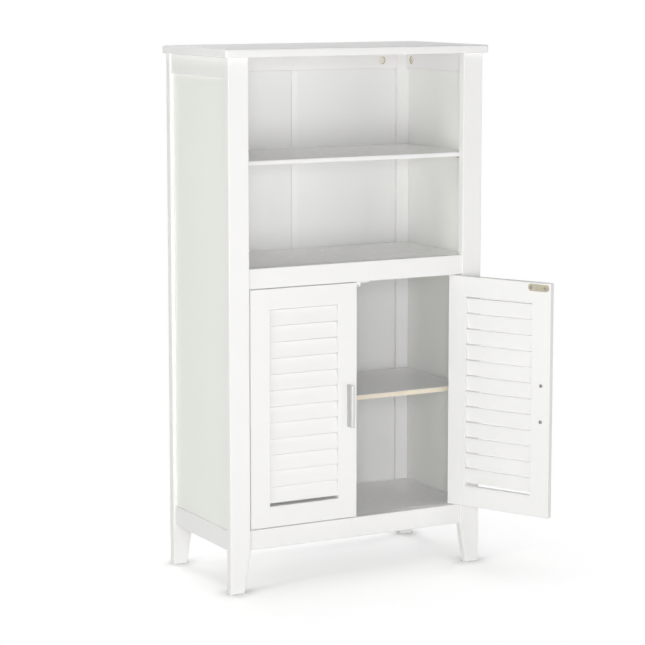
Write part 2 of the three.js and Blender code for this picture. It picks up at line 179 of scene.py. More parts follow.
lamps = [
    soft_lamp("key_lamp", azimuth=-22, elevation=4, width=1.2, height=1.2, watts=34.2),
    soft_lamp("corner_lamp", azimuth=-58, elevation=0, width=0.6, height=0.9, watts=11.5, colour=left_tint),
    soft_lamp("side_lamp", azimuth=-76, elevation=18, width=0.4, height=1.4, watts=19.0, colour=left_tint),
    soft_lamp("right_lamp", azimuth=29, elevation=4, width=1.2, height=1.2, watts=14.5),
    soft_lamp("top_lamp", azimuth=-150, elevation=74, width=1.4, height=1.4, watts=14.5, distance=2.4),
    soft_lamp("back_lamp", azimuth=180, elevation=28, width=1.2, height=1.2, watts=20.0),
    soft_lamp("far_lamp", azimuth=108, elevation=18, width=1.2, height=1.2, watts=14.0),
]
for lamp in lamps:
    print(lamp.name, round(lamp.data.energy, 1), "W")

# %% Floor that keeps the shadow
floor_half = 6.0
floor_mesh = bpy.data.meshes.new("floor")
floor_corners = [(-floor_half, -floor_half, 0), (floor_half, -floor_half, 0),
                 (floor_half, floor_half, 0), (-floor_half, floor_half, 0)]
floor_mesh.from_pydata(floor_corners, [], [(0, 1, 2, 3)])
floor = bpy.data.objects.new("floor", floor_mesh)
bpy.context.scene.collection.objects.link(floor)
print("floor", 2 * floor_half, "m wide")

# %% Near the cupboard the floor is lit white with a glow, which the shade takes away
# The glow that the camera sees, and the share of it that the broad shade takes away
floor_lift = 0.50
contact_depth = 0.32
# How far off, in metres, a surface still shades the floor, broadly and then close around a foot
contact_reach = 0.15
foot_reach = 0.032
# The openness at which the shade around a foot takes all of the glow
foot_dark = 0.5
floor_paint, tree = new_material("pale_studio_floor")
floor_white = add(tree, "ShaderNodeBsdfDiffuse", {"Color": linear("E6E6E6")})
open_share = add(tree, "ShaderNodeAmbientOcclusion", {"Distance": contact_reach}, samples=8).outputs["AO"]
shaded_lift = floor_lift * (1 - contact_depth)
broad_lift = add(tree, "ShaderNodeMapRange",
                 {"Value": open_share, "To Min": shaded_lift, "To Max": floor_lift}).outputs[0]
foot_open = add(tree, "ShaderNodeAmbientOcclusion", {"Distance": foot_reach}, samples=8).outputs["AO"]
foot_lift = add(tree, "ShaderNodeMapRange", {"Value": foot_open, "From Min": foot_dark}).outputs[0]
lift = add(tree, "ShaderNodeMath", {0: broad_lift, 1: foot_lift}, operation="MULTIPLY").outputs[0]
floor_glow = add(tree, "ShaderNodeEmission", {"Color": linear("FFFFFF"), "Strength": lift})
near = add(tree, "ShaderNodeAddShader", {0: floor_white.outputs[0], 1: floor_glow.outputs[0]})
print("floor glow from", round(shaded_lift, 2), "in the broad shade to", floor_lift, "in the open")

# %% Further out it fades to plain white
# Half the width and the depth over the feet, and the way out from them in which the floor fades
foot_half = (0.249, 0.124, 0)
shadow_reach = 0.02
sweep_reach = 0.26
far = add(tree, "ShaderNodeEmission", {"Color": linear("FFFFFF"), "Strength": 1.0})
place = add(tree, "ShaderNodeTexCoord").outputs["Object"]
from_middle = add(tree, "ShaderNodeVectorMath", {0: place, 1: (middle.x, middle.y, 0)}, operation="SUBTRACT")
one_side = add(tree, "ShaderNodeVectorMath", {0: from_middle.outputs[0]}, operation="ABSOLUTE").outputs[0]
past_feet = add(tree, "ShaderNodeVectorMath", {0: one_side, 1: foot_half}, operation="SUBTRACT").outputs[0]
outside = add(tree, "ShaderNodeVectorMath", {0: past_feet, 1: (0, 0, 0)}, operation="MAXIMUM").outputs[0]
way_out = add(tree, "ShaderNodeVectorMath", {0: outside}, operation="LENGTH").outputs["Value"]
fade = add(tree, "ShaderNodeMapRange",
           {"Value": way_out, "From Min": shadow_reach, "From Max": sweep_reach},
           interpolation_type="SMOOTHSTEP")
shown = add(tree, "ShaderNodeMixShader", {0: fade.outputs[0], 1: near.outputs[0], 2: far.outputs[0]})
print("floor fades to white from", shadow_reach, "to", sweep_reach, "m out from the feet")

# %% One floor, shown one way and giving back light another
floor_bounce = 0.11
sweep_glow = add(tree, "ShaderNodeEmission", {"Color": linear("FFFFFF"), "Strength": floor_bounce})
sweep = add(tree, "ShaderNodeAddShader", {0: floor_white.outputs[0], 1: sweep_glow.outputs[0]})
floor_mix = add(tree, "ShaderNodeMixShader",
                {0: seen_directly(tree), 1: sweep.outputs[0], 2: shown.outputs[0]})
add(tree, "ShaderNodeOutputMaterial", {"Surface": floor_mix.outputs[0]})
floor_mesh.materials.append(floor_paint)
print(floor_paint.name, "has", len(tree.nodes), "nodes")

# %% [markdown]
# ## Satin paint on fibreboard
# The frame, rails and slats are medium density fibreboard, sprayed with satin white paint.
# Sprayed paint gives an even, slightly warm white, a wide soft shine and a very fine orange peel.
# Sharp edges take less paint, so they look a touch darker and warmer than the flats.
# The peel and the tone could be painted on as images, but noise at real sizes needs none and never repeats.
# A Bevel node rounds the shine over the edges, which no flat-faced board has without it.

# %% Sizes and tones of the paint, all sizes in millimetres
# Real orange peel is nearer 1 mm wide, and is drawn coarser so that it shows at all
peel_size = 2.2
peel_depth = 0.03
# Tone changes over a hand's span and shine over a finger's width, as the passes of the spray gun leave them
tone_size = 140.0
gloss_size = 12.0
gloss_swing = 0.05
paint_roughness = 0.5
paint_specular = 0.3
paint_tone = ("F8F7F7", "F5F4F4")
# Paint thins over an edge, as the rounded and the flat normal part from the upper level to the lower
edge_radius = 0.8
edge_levels = (0.75, 0.98)
edge_share = 0.6
paint_edge = "E4E1DD"
print("painted board: orange peel", peel_size, "mm, tone patches", tone_size, "mm")


# %% Painted board
def paint_tree(name, tone, edge_tone, roughness, peel, radius=edge_radius):
    """A painted board: returns the material, its tree, and the colour, roughness and normal sockets."""
    material, tree = new_material(name)
    place = add(tree, "ShaderNodeTexCoord").outputs["Object"]
    round_edge = add(tree, "ShaderNodeBevel", {"Radius": radius * mm}, samples=4).outputs[0]
    flat = add(tree, "ShaderNodeNewGeometry").outputs["True Normal"]
    level = add(tree, "ShaderNodeVectorMath", {0: round_edge, 1: flat},
                operation="DOT_PRODUCT").outputs["Value"]
    patch = add(tree, "ShaderNodeTexNoise", {"Vector": place, "Scale": 1 / (tone_size * mm), "Detail": 2.0})
    tint = add(tree, "ShaderNodeMix", {0: patch.outputs[0], 6: linear(tone[0]), 7: linear(tone[1])},
               data_type="RGBA").outputs[2]
    thin = add(tree, "ShaderNodeMapRange",
               {"Value": level, "From Min": edge_levels[0], "From Max": edge_levels[1],
                "To Min": edge_share, "To Max": 0.0}).outputs[0]
    colour = add(tree, "ShaderNodeMix", {0: thin, 6: tint, 7: linear(edge_tone)},
                 data_type="RGBA").outputs[2]
    gloss = add(tree, "ShaderNodeTexNoise", {"Vector": place, "Scale": 1 / (gloss_size * mm), "Detail": 3.0})
    rough = add(tree, "ShaderNodeMapRange",
                {"Value": gloss.outputs[0], "To Min": roughness - gloss_swing,
                 "To Max": roughness + gloss_swing}).outputs[0]
    grain = add(tree, "ShaderNodeTexNoise", {"Vector": place, "Scale": 1 / (peel_size * mm), "Detail": 1.0})
    normal = add(tree, "ShaderNodeBump",
                 {"Height": grain.outputs[0], "Normal": round_edge, "Strength": 1.0, "Distance": peel * mm})
    return material, tree, colour, rough, normal.outputs[0]


def one_coat(name, tone, edge_tone, roughness, peel, radius=edge_radius):
    """A material that is one paint or one foil all over."""
    material, tree, colour, rough, normal = paint_tree(name, tone, edge_tone, roughness, peel, radius)
    surface = add(tree, "ShaderNodeBsdfPrincipled",
                  {"Base Color": colour, "Roughness": rough, "Normal": normal,
                   "Specular IOR Level": paint_specular})
    add(tree, "ShaderNodeOutputMaterial", {"Surface": surface.outputs[0]})
    return material


# Satin acrylic paint, sprayed on fibreboard and dried: it gives the eye a warm white with a broad soft shine
satin_paint = one_coat("satin_white_paint_on_fibreboard", paint_tone, paint_edge, paint_roughness, peel_depth)
print(satin_paint.name, "has", len(satin_paint.node_tree.nodes), "nodes")

# %% [markdown]
# ## Steel that sits in a painted piece
# Some CAD pieces hold steel pins: the side panels carry shelf pins and the hinge stiles carry pivot pins.
# The pins could be cut off and made again, but a mask by place can tell steel from paint in one material.
# Beyond the panel's inner face, or above and below the door, the same surface is zinc plated steel.
# One shader takes both finishes, so that its colour, metal and roughness change together at the mask.

# %% Finish that changes to steel beyond a plane
# Steel wire, cut and zinc plated: a mid grey metal with a fairly sharp shine
steel_grey = linear("B4B2AD")
steel_roughness = 0.32


def steel_beyond(tree, colour, rough, normal, mask):
    """Ends a tree in one shader that is paint where the mask is 0 and plated steel where it is 1."""
    shade = add(tree, "ShaderNodeMix", {0: mask, 6: colour, 7: steel_grey}, data_type="RGBA").outputs[2]
    shine = add(tree, "ShaderNodeMapRange",
                {"Value": mask, "To Min": rough, "To Max": steel_roughness}).outputs[0]
    surface = add(tree, "ShaderNodeBsdfPrincipled",
                  {"Base Color": shade, "Metallic": mask, "Roughness": shine, "Normal": normal,
                   "Specular IOR Level": paint_specular})
    add(tree, "ShaderNodeOutputMaterial", {"Surface": surface.outputs[0]})


def coordinate(tree, axis):
    """One coordinate of the place in the cabinet's own frame, in metres."""
    place = add(tree, "ShaderNodeTexCoord").outputs["Object"]
    return add(tree, "ShaderNodeSeparateXYZ", {0: place}).outputs[axis]


print("pins turn to steel with a roughness of", steel_roughness)

# %% Side panels with their shelf pins
# Paper foil with a white lacquer, pressed on thin board: duller and flatter than the paint. Its faint green
# and its slight lift over the back's foil are painted light, the tint of the greener light from the left
foil_radius = 0.4
foil_peel = 0.02
dull_foil_roughness = 0.55
mask_margin = 0.1 * mm
panel_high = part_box("left_side_panel")[1]
pin_reach = 8 * mm
panel_inner = abs(panel_high.x - pin_reach - middle.x)
green_lit_panel_foil, tree, colour, rough, normal = paint_tree(
    "white_foil_on_thin_board_with_shelf_pins", ("F8F9F6", "F6F7F3"), "E8E8E3",
    dull_foil_roughness, foil_peel, foil_radius)
across = add(tree, "ShaderNodeMath", {0: coordinate(tree, "X"), 1: middle.x}, operation="SUBTRACT").outputs[0]
off_middle = add(tree, "ShaderNodeMath", {0: across}, operation="ABSOLUTE").outputs[0]
pin_mask = add(tree, "ShaderNodeMath", {0: off_middle, 1: panel_inner - mask_margin},
               operation="LESS_THAN").outputs[0]
steel_beyond(tree, colour, rough, normal, pin_mask)
print("side panels' inner faces lie", round(panel_inner / mm, 1), "mm from the middle")

# %% Hinge stiles with their pivot pins
# The door frames' joints are closed and painted over, so the paint is rounded less at their edges
joint_radius = 0.15
pivot_margin = 0.05 * mm
door_low, door_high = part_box("left_door_free_stile")
stile_paint, tree, colour, rough, normal = paint_tree(
    "satin_white_paint_with_pivot_pins", paint_tone, paint_edge, paint_roughness, peel_depth, joint_radius)
height = coordinate(tree, "Z")
above = add(tree, "ShaderNodeMath", {0: height, 1: door_high.z + pivot_margin},
            operation="GREATER_THAN").outputs[0]
below = add(tree, "ShaderNodeMath", {0: height, 1: door_low.z - pivot_margin},
            operation="LESS_THAN").outputs[0]
pivot_mask = add(tree, "ShaderNodeMath", {0: above, 1: below}, operation="MAXIMUM").outputs[0]
steel_beyond(tree, colour, rough, normal, pivot_mask)
print("doors stand from", round(door_low.z / mm, 1), "to", round(door_high.z / mm, 1), "mm")

# %% Door frames, painted over their joints
# The same sprayed satin paint: to the eye the stiles and rails of a door are one white frame
door_paint = one_coat(
    "satin_white_paint_over_closed_joints", paint_tone, paint_edge, paint_roughness, peel_depth, joint_radius)
print(door_paint.name, "has", len(door_paint.node_tree.nodes), "nodes")

# %% [markdown]
# ## Foil on the back panels and the shelves
# The thin back is faced with white foil, which is smoother and a little duller than the paint.
# The shelves carry melamine foil, which is smooth enough to mirror the walls around them softly.
# The upper shelf's front edge is painted, while the lower one's is bare board, beige and finely flecked.
# The edge could be a strip of its own, but a mask by depth changes just the shelf's front half millimetre.

# %% Foil on the back panels
# Hardboard, pressed from fibres and faced with white paper foil: a plain neutral white with little shine
back_foil = one_coat("white_foil_on_hardboard", ("F6F6F5", "F3F3F2"), "E5E5E1",
                     dull_foil_roughness, foil_peel, foil_radius)
print(back_foil.name, "has", len(back_foil.node_tree.nodes), "nodes")

# %% Bare fibreboard
# Bare fibreboard, sawn and sanded: matt beige with fine darker flecks, as wide as bundles of its fibres
fleck_size = 0.9
bare_roughness = 0.85
bare_tones = ("DED2BC", "F4ECDC")


def fibres(tree, tones):
    """The flecked colour of bare fibreboard."""
    place = add(tree, "ShaderNodeTexCoord").outputs["Object"]
    fleck = add(tree, "ShaderNodeTexNoise", {"Vector": place, "Scale": 1 / (fleck_size * mm), "Detail": 4.0})
    return add(tree, "ShaderNodeMix", {0: fleck.outputs[0], 6: linear(tones[0]), 7: linear(tones[1])},
               data_type="RGBA").outputs[2]


print("bare board has flecks of", fleck_size, "mm")

# %% Foil on the shelves, with a painted or a bare front edge
# Melamine foil, hot pressed on the board: smooth and half glossy, so that pale walls show in it softly
melamine_roughness = 0.25
melamine_peel = 0.006
melamine_specular = 0.4
edge_depth = 0.5 * mm


def shelf_foil(name, front, edge_roughness, bare):
    """Smooth foil on a board whose front edge is painted, or bare where bare is true."""
    material, tree, colour, rough, normal = paint_tree(
        name, paint_tone, paint_edge, melamine_roughness, melamine_peel)
    at_front = add(tree, "ShaderNodeMath", {0: coordinate(tree, "Y"), 1: front + edge_depth},
                   operation="LESS_THAN").outputs[0]
    if bare:
        colour = add(tree, "ShaderNodeMix", {0: at_front, 6: colour, 7: fibres(tree, bare_tones)},
                     data_type="RGBA").outputs[2]
    dull = add(tree, "ShaderNodeMapRange",
               {"Value": at_front, "To Min": rough, "To Max": edge_roughness}).outputs[0]
    surface = add(tree, "ShaderNodeBsdfPrincipled",
                  {"Base Color": colour, "Roughness": dull, "Normal": normal,
                   "Specular IOR Level": melamine_specular})
    add(tree, "ShaderNodeOutputMaterial", {"Surface": surface.outputs[0]})
    return material


upper_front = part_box("upper_shelf")[0].y
lower_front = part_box("lower_shelf")[0].y
painted_edge_foil = shelf_foil("white_melamine_foil_with_painted_edge", upper_front, paint_roughness, False)
bare_edge_foil = shelf_foil("white_melamine_foil_with_bare_edge", lower_front, bare_roughness, True)
print("bare edge along y =", round(lower_front / mm, 1), "mm")

# %% [markdown]
# ## Metals and plastic
# The handles are satin nickel, brushed along their length, which spreads highlights across the brushing.
# The strike plates are pressed steel with a thin bright nickel plate, faintly cloudy.
# The catch and the joining strip of the back are white plastic, smoother and glossier than the paint.
# Photographs of metal could be laid on, but noise stretched along one direction draws the brushing as well.

# %% Satin nickel
# Nickel plate on cast zinc, brushed lengthwise: a cool light grey whose highlights smear across the handle
# Real brush lines are under 0.1 mm wide, and are drawn coarser so that they show at all
brush_width = 0.35
brush_length = 18.0
brush_depth = 0.01
brush_roughness = (0.26, 0.42)
handle_edge = 0.7
satin_nickel, tree = new_material("satin_nickel_brushed_lengthwise")
place = add(tree, "ShaderNodeTexCoord").outputs["Object"]
along = add(tree, "ShaderNodeMapping",
            {"Vector": place,
             "Scale": (1 / (brush_width * mm), 1 / (brush_width * mm), 1 / (brush_length * mm))})
lines = add(tree, "ShaderNodeTexNoise", {"Vector": along.outputs[0], "Scale": 1.0, "Detail": 3.0}).outputs[0]
tint = add(tree, "ShaderNodeMix", {0: lines, 6: linear("BDBDBD"), 7: linear("D1D1D1")},
           data_type="RGBA").outputs[2]
rough = add(tree, "ShaderNodeMapRange",
            {"Value": lines, "To Min": brush_roughness[0], "To Max": brush_roughness[1]}).outputs[0]
round_edge = add(tree, "ShaderNodeBevel", {"Radius": handle_edge * mm}, samples=4).outputs[0]
normal = add(tree, "ShaderNodeBump",
             {"Height": lines, "Normal": round_edge, "Strength": 1.0,
              "Distance": brush_depth * mm}).outputs[0]
surface = add(tree, "ShaderNodeBsdfPrincipled",
              {"Base Color": tint, "Metallic": 1.0, "Roughness": rough, "Normal": normal, "Anisotropic": 0.4})
add(tree, "ShaderNodeOutputMaterial", {"Surface": surface.outputs[0]})
print("brush lines", brush_width, "mm wide")

# %% Plated metals
cloud_swing = 0.06


def plated(name, dark, light, roughness, cloud_size, edge_round):
    """A metal with soft clouds in its tone and its shine. Both sizes are in millimetres."""
    material, tree = new_material(name)
    place = add(tree, "ShaderNodeTexCoord").outputs["Object"]
    clouds = add(tree, "ShaderNodeTexNoise", {"Vector": place, "Scale": 1 / (cloud_size * mm), "Detail": 3.0})
    tint = add(tree, "ShaderNodeMix", {0: clouds.outputs[0], 6: linear(dark), 7: linear(light)},
               data_type="RGBA").outputs[2]
    rough = add(tree, "ShaderNodeMapRange",
                {"Value": clouds.outputs[0], "To Min": roughness - cloud_swing,
                 "To Max": roughness + cloud_swing}).outputs[0]
    round_edge = add(tree, "ShaderNodeBevel", {"Radius": edge_round * mm}, samples=4).outputs[0]
    surface = add(tree, "ShaderNodeBsdfPrincipled",
                  {"Base Color": tint, "Metallic": 1.0, "Roughness": rough, "Normal": round_edge})
    add(tree, "ShaderNodeOutputMaterial", {"Surface": surface.outputs[0]})
    return material


# Steel sheet, pressed and nickel plated: a yellowish grey, bright but faintly cloudy
nickel_plate = plated("nickel_plate_on_pressed_steel", "A9A391", "BEB8A4",
                      roughness=0.3, cloud_size=6.0, edge_round=0.3)
# Steel wire, cold headed and zinc plated, with small sharp glints: its dark neutral grey is painted shade,
# darker than bright zinc, for the shadow round each head
shade_darkened_zinc = plated("zinc_plate_on_steel_screws_darkened_as_shade", "868580", "9E9D98",
                    roughness=0.34, cloud_size=1.5, edge_round=0.15)
# Zinc, die cast and passivated: pale and warm, nearly matt
cast_zinc = plated("die_cast_zinc_passivated", "F1EDE3", "FBF9F2",
                   roughness=0.55, cloud_size=2.0, edge_round=0.2)
# Mild steel, blanked and ground flat: a plain mid grey
pole_steel = plated("ground_steel_pole", "8D8A84", "A4A19B",
                    roughness=0.4, cloud_size=1.0, edge_round=0.15)
print("plated metals:", ", ".join(metal.name for metal in (nickel_plate, shade_darkened_zinc, cast_zinc, pole_steel)))

# %% Moulded plastic
mould_grain = 0.008
mould_edge = 0.3


def moulded(name, tone, roughness, grain_size):
    """A moulded plastic with a faint grain from its mould, its size in millimetres."""
    material, tree = new_material(name)
    place = add(tree, "ShaderNodeTexCoord").outputs["Object"]
    grain = add(tree, "ShaderNodeTexNoise", {"Vector": place, "Scale": 1 / (grain_size * mm), "Detail": 2.0})
    tint = add(tree, "ShaderNodeMix", {0: grain.outputs[0], 6: linear(tone[0]), 7: linear(tone[1])},
               data_type="RGBA").outputs[2]
    round_edge = add(tree, "ShaderNodeBevel", {"Radius": mould_edge * mm}, samples=4).outputs[0]
    normal = add(tree, "ShaderNodeBump",
                 {"Height": grain.outputs[0], "Normal": round_edge, "Strength": 1.0,
                  "Distance": mould_grain * mm})
    surface = add(tree, "ShaderNodeBsdfPrincipled",
                  {"Base Color": tint, "Roughness": roughness, "Normal": normal.outputs[0], "IOR": 1.5})
    add(tree, "ShaderNodeOutputMaterial", {"Surface": surface.outputs[0]})
    return material


# ABS, injection moulded: a clean bright white with a clear soft shine
catch_plastic = moulded("white_abs_moulded", ("FAFAF9", "F6F6F5"), roughness=0.3, grain_size=1.2)
# PVC, extruded: as white, but a little duller
strip_plastic = moulded("white_pvc_extruded_strip", ("F8F8F8", "F4F4F4"), roughness=0.38, grain_size=2.0)
print("plastics:", catch_plastic.name, "and", strip_plastic.name)

# %% [markdown]
# ## Finishes onto the CAD pieces
# On the real cupboard each board and fitting comes finished, before it is put together.
# Materials could be dropped on by hand, piece by piece, but the names already say what each piece is.
# So a short list of special names is enough, the rest is painted board, and no CAD shape is changed.

# %% Give each CAD piece its finish
finishes = {
    "left_side_panel": green_lit_panel_foil,
    "right_side_panel": green_lit_panel_foil,
    "left_door_hinge_stile": stile_paint,
    "right_door_hinge_stile": stile_paint,
    "left_door_free_stile": door_paint,
    "right_door_free_stile": door_paint,
    "left_door_top_rail": door_paint,
    "left_door_bottom_rail": door_paint,
    "right_door_top_rail": door_paint,
    "right_door_bottom_rail": door_paint,
    "back_panel_left": back_foil,
    "back_panel_right": back_foil,
    "upper_shelf": painted_edge_foil,
    "middle_shelf": painted_edge_foil,
    "base_board": painted_edge_foil,
    "lower_shelf": bare_edge_foil,
    "left_handle": satin_nickel,
    "right_handle": satin_nickel,
    "left_strike_plate": nickel_plate,
    "right_strike_plate": nickel_plate,
    "magnetic_catch": catch_plastic,
    "back_joining_strip": strip_plastic,
}
for name, piece in frame["nodes"].items():
    finish = finishes.get(name, satin_paint)
    for index in range(len(piece.material_slots)):
        piece.material_slots[index].material = finish
print(len(finishes), "special pieces,", len(frame["nodes"]) - len(finishes), "painted boards")

# %% [markdown]
# ## Screws and cam locks
# Cross-recess screws hold the handles, the strike plates and the catch, and cam locks join rails to legs.
# Each head could be modelled once and copied by hand, but they differ only in size, place and turn.
# A Geometry Nodes tree turns one head, as on a lathe, cuts the cross into it and sets a copy at every point.
# Each point says which way its head faces, and a fixed seed turns its cross at random, as a driver does.

# %% Tree that sets turned heads with a cross recess
head_tree = bpy.data.node_groups.new("cross_recess_heads", "GeometryNodeTree")
head_tree.interface.new_socket("Points", in_out="INPUT", socket_type="NodeSocketGeometry")
head_sizes = ("Radius", "Height", "Dome", "Recess Length", "Recess Width", "Recess Depth")
for size_name in head_sizes:
    head_tree.interface.new_socket(size_name, in_out="INPUT", socket_type="NodeSocketFloat")
head_tree.interface.new_socket("Seed", in_out="INPUT", socket_type="NodeSocketInt")
head_tree.interface.new_socket("Material", in_out="INPUT", socket_type="NodeSocketMaterial")
head_tree.interface.new_socket("Heads", in_out="OUTPUT", socket_type="NodeSocketGeometry")
given = add(head_tree, "NodeGroupInput").outputs
print("head tree takes", ", ".join(head_sizes))

# %% The turned blank of a head
# The axis of the head, and the head's radius at each ring along it: full below, drawn in towards the top
ring_count = 8
head_corners = 32
dome_bend = 3.0
tip = add(head_tree, "ShaderNodeCombineXYZ", {"Z": given["Height"]}).outputs[0]
axis_line = add(head_tree, "GeometryNodeCurvePrimitiveLine", {"End": tip}).outputs[0]
rings = add(head_tree, "GeometryNodeResampleCurve", {"Curve": axis_line, "Count": ring_count}).outputs[0]
rise = add(head_tree, "GeometryNodeSplineParameter").outputs["Factor"]
bend = add(head_tree, "ShaderNodeMath", {0: rise, 1: dome_bend}, operation="POWER").outputs[0]
drawn = add(head_tree, "ShaderNodeMath", {0: bend, 1: given["Dome"]}, operation="MULTIPLY").outputs[0]
left_over = add(head_tree, "ShaderNodeMath", {0: 1.0, 1: drawn}, operation="SUBTRACT").outputs[0]
share = add(head_tree, "ShaderNodeMath", {0: left_over}, operation="SQRT").outputs[0]
ring_radius = add(head_tree, "ShaderNodeMath", {0: share, 1: given["Radius"]},
                  operation="MULTIPLY").outputs[0]
circle = add(head_tree, "GeometryNodeCurvePrimitiveCircle",
             {"Resolution": head_corners, "Radius": 1.0}).outputs[0]
blank = add(head_tree, "GeometryNodeCurveToMesh",
            {"Curve": rings, "Profile Curve": circle, "Scale": ring_radius, "Fill Caps": True}).outputs[0]
print("turned heads have", head_corners, "corners")

# %% The cross that is cut into it
# Two crossed bars are sunk to the recess depth, so each is twice as high as that and centred on the tip
bar_height = add(head_tree, "ShaderNodeMath", {0: given["Recess Depth"], 1: 2.0},
                 operation="MULTIPLY").outputs[0]
bars = []
for order in (("Recess Length", "Recess Width"), ("Recess Width", "Recess Length")):
    bar_size = add(head_tree, "ShaderNodeCombineXYZ",
                   {"X": given[order[0]], "Y": given[order[1]], "Z": bar_height}).outputs[0]
    bar = add(head_tree, "GeometryNodeMeshCube", {"Size": bar_size}).outputs[0]
    bars.append(add(head_tree, "GeometryNodeTransform", {"Geometry": bar, "Translation": tip}).outputs[0])
head = add(head_tree, "GeometryNodeMeshBoolean", {"Mesh 1": blank, "Mesh 2": bars},
           operation="DIFFERENCE", solver="EXACT").outputs[0]
print("the cross is made of", len(bars), "bars")

# %% A copy at every point
# Each faces its point's way, with its cross turned by up to a quarter
facing = add(head_tree, "GeometryNodeInputNamedAttribute", {"Name": "facing"},
             data_type="FLOAT_VECTOR").outputs[0]
upright = add(head_tree, "FunctionNodeAlignRotationToVector", {"Vector": facing}, axis="Z").outputs[0]
quarter = add(head_tree, "FunctionNodeRandomValue", {2: 0.0, 3: math.pi / 2, "Seed": given["Seed"]},
              data_type="FLOAT").outputs[1]
twist = add(head_tree, "FunctionNodeAxisAngleToRotation", {"Axis": (0, 0, 1), "Angle": quarter}).outputs[0]
turned = add(head_tree, "FunctionNodeRotateRotation", {"Rotation": upright, "Rotate By": twist},
             rotation_space="LOCAL").outputs[0]
copies = add(head_tree, "GeometryNodeInstanceOnPoints",
             {"Points": given["Points"], "Instance": head, "Rotation": turned}).outputs[0]
solid = add(head_tree, "GeometryNodeRealizeInstances", {"Geometry": copies}).outputs[0]
finished = add(head_tree, "GeometryNodeSetMaterial",
               {"Geometry": solid, "Material": given["Material"]}).outputs[0]
add(head_tree, "NodeGroupOutput", {"Heads": finished})
print("head tree:", len(head_tree.nodes), "nodes")


# %% One function that runs a tree at given spots
def set_at(tree, name, body, slot, spots, **sizes):
    """Runs a node tree on points, keeps the result as a plain mesh and lets it ride on a body."""
    mesh = bpy.data.meshes.new(name)
    mesh.from_pydata([tuple(place) for place, way in spots], [], [])
    ways = mesh.attributes.new("facing", "FLOAT_VECTOR", "POINT")
    ways.data.foreach_set("vector", [value for place, way in spots for value in way])
    piece = bpy.data.objects.new(name, mesh)
    bpy.context.scene.collection.objects.link(piece)
    modifier = piece.modifiers.new("tree", "NODES")
    modifier.node_group = tree
    for item in tree.interface.items_tree:
        if item.in_out == "INPUT" and item.name in sizes:
            modifier[item.identifier] = sizes[item.name]
    evaluated = piece.evaluated_get(bpy.context.evaluated_depsgraph_get())
    made = bpy.data.meshes.new_from_object(evaluated)
    piece.modifiers.remove(modifier)
    piece.data = made
    made.name = name
    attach(piece, body)
    print(name, "on", body, "with", len(made.polygons), "faces")


print("set_at runs", head_tree.name, "or any other tree that takes points")

# %% [markdown]
# ## Where the door screws sit
# The two doors are mirror images, but the right one stands open, so its screws lie at an odd angle.
# Their places could be read off the open door, but it is surer to find them on the closed left one.
# They are mirrored about the cupboard's middle and swung about the right hinge by its opening angle.

# %% Mirror and swing from the left door to the right one
hinges = {joint["child"]: joint for joint in frame["joints"]}
right_pivot = Vector(hinges["right_door"]["pos_m"])
right_swing = Matrix.Rotation(-math.radians(min(hinges["right_door"]["range_deg"])), 3, "Z")


def on_right_door(spots):
    """The same spots on the open right door."""
    moved = []
    for place, way in spots:
        mirrored = Vector((2 * middle.x - place.x, place.y, place.z))
        swung = right_pivot + right_swing @ (mirrored - right_pivot)
        moved.append((swung, right_swing @ Vector((-way.x, way.y, way.z))))
    return moved


print("right door swings", round(math.degrees(right_swing.to_euler().z), 1), "degrees")

# %% Heads of the two kinds of screw
# Pan heads stand on the wood, while flat heads sink into a plate and show little more than their tops
# Both kinds take the screw zinc that is painted darker, as shade round the heads
pan_head = {"Radius": 3.1 * mm, "Height": 1.9 * mm, "Dome": 0.8, "Recess Length": 3.6 * mm,
            "Recess Width": 1.0 * mm, "Recess Depth": 1.3 * mm, "Material": shade_darkened_zinc}
flat_head = {"Radius": 2.8 * mm, "Height": 0.42 * mm, "Dome": 0.5, "Recess Length": 3.2 * mm,
             "Recess Width": 0.8 * mm, "Recess Depth": 0.36 * mm, "Material": shade_darkened_zinc}
inward = Vector((0, 1, 0))


def screw_pair(centre, gap):
    """Two spots side by side at this distance from each other, both facing into the cupboard."""
    return [(centre + Vector((side * gap / 2, 0, 0)), inward) for side in (-1, 1)]


print("pan heads are", round(2 * pan_head["Radius"] / mm, 1), "mm wide")

# %% Screws of the handles
# The two holes of a small handle are usually 64 mm apart
handle_screw_gap = 64 * mm
handle_screw_rise = 2 * mm
stile_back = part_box("left_door_free_stile")[1].y
handle_low, handle_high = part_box("left_handle")
handle_x = (handle_low.x + handle_high.x) / 2
handle_z = (handle_low.z + handle_high.z) / 2 + handle_screw_rise
handle_spots = [(Vector((handle_x, stile_back, handle_z + side * handle_screw_gap / 2)), inward)
                for side in (-1, 1)]
set_at(head_tree, "left_handle_screws", "left_door", "plated_steel", handle_spots, Seed=1, **pan_head)
set_at(head_tree, "right_handle_screws", "right_door", "plated_steel", on_right_door(handle_spots),
       Seed=2, **pan_head)

# %% Screws of the strike plates
# The plate's holes lie a millimetre nearer to the door's hinge than its middle
plate_screw_gap = 27.6 * mm
plate_screw_shift = 1 * mm
plate_low, plate_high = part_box("left_strike_plate")
plate_middle = (plate_low + plate_high) / 2
plate_spots = screw_pair(Vector((plate_middle.x - plate_screw_shift, plate_high.y, plate_middle.z)),
                         plate_screw_gap)
set_at(head_tree, "left_strike_screws", "left_door", "plated_steel", plate_spots, Seed=3, **flat_head)
set_at(head_tree, "right_strike_screws", "right_door", "plated_steel", on_right_door(plate_spots),
       Seed=4, **flat_head)

# %% Screws of the magnetic catch
catch_screw_gap = 48 * mm
catch_screw_drop = 9 * mm
flange_thickness = 3.5 * mm
catch_low, catch_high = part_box("magnetic_catch")
flange_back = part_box("front_middle_rail")[1].y + flange_thickness
catch_spots = screw_pair(Vector((middle.x, flange_back, catch_high.z - catch_screw_drop)), catch_screw_gap)
set_at(head_tree, "catch_screws", "carcass", "plated_steel", catch_spots, Seed=5, **pan_head)

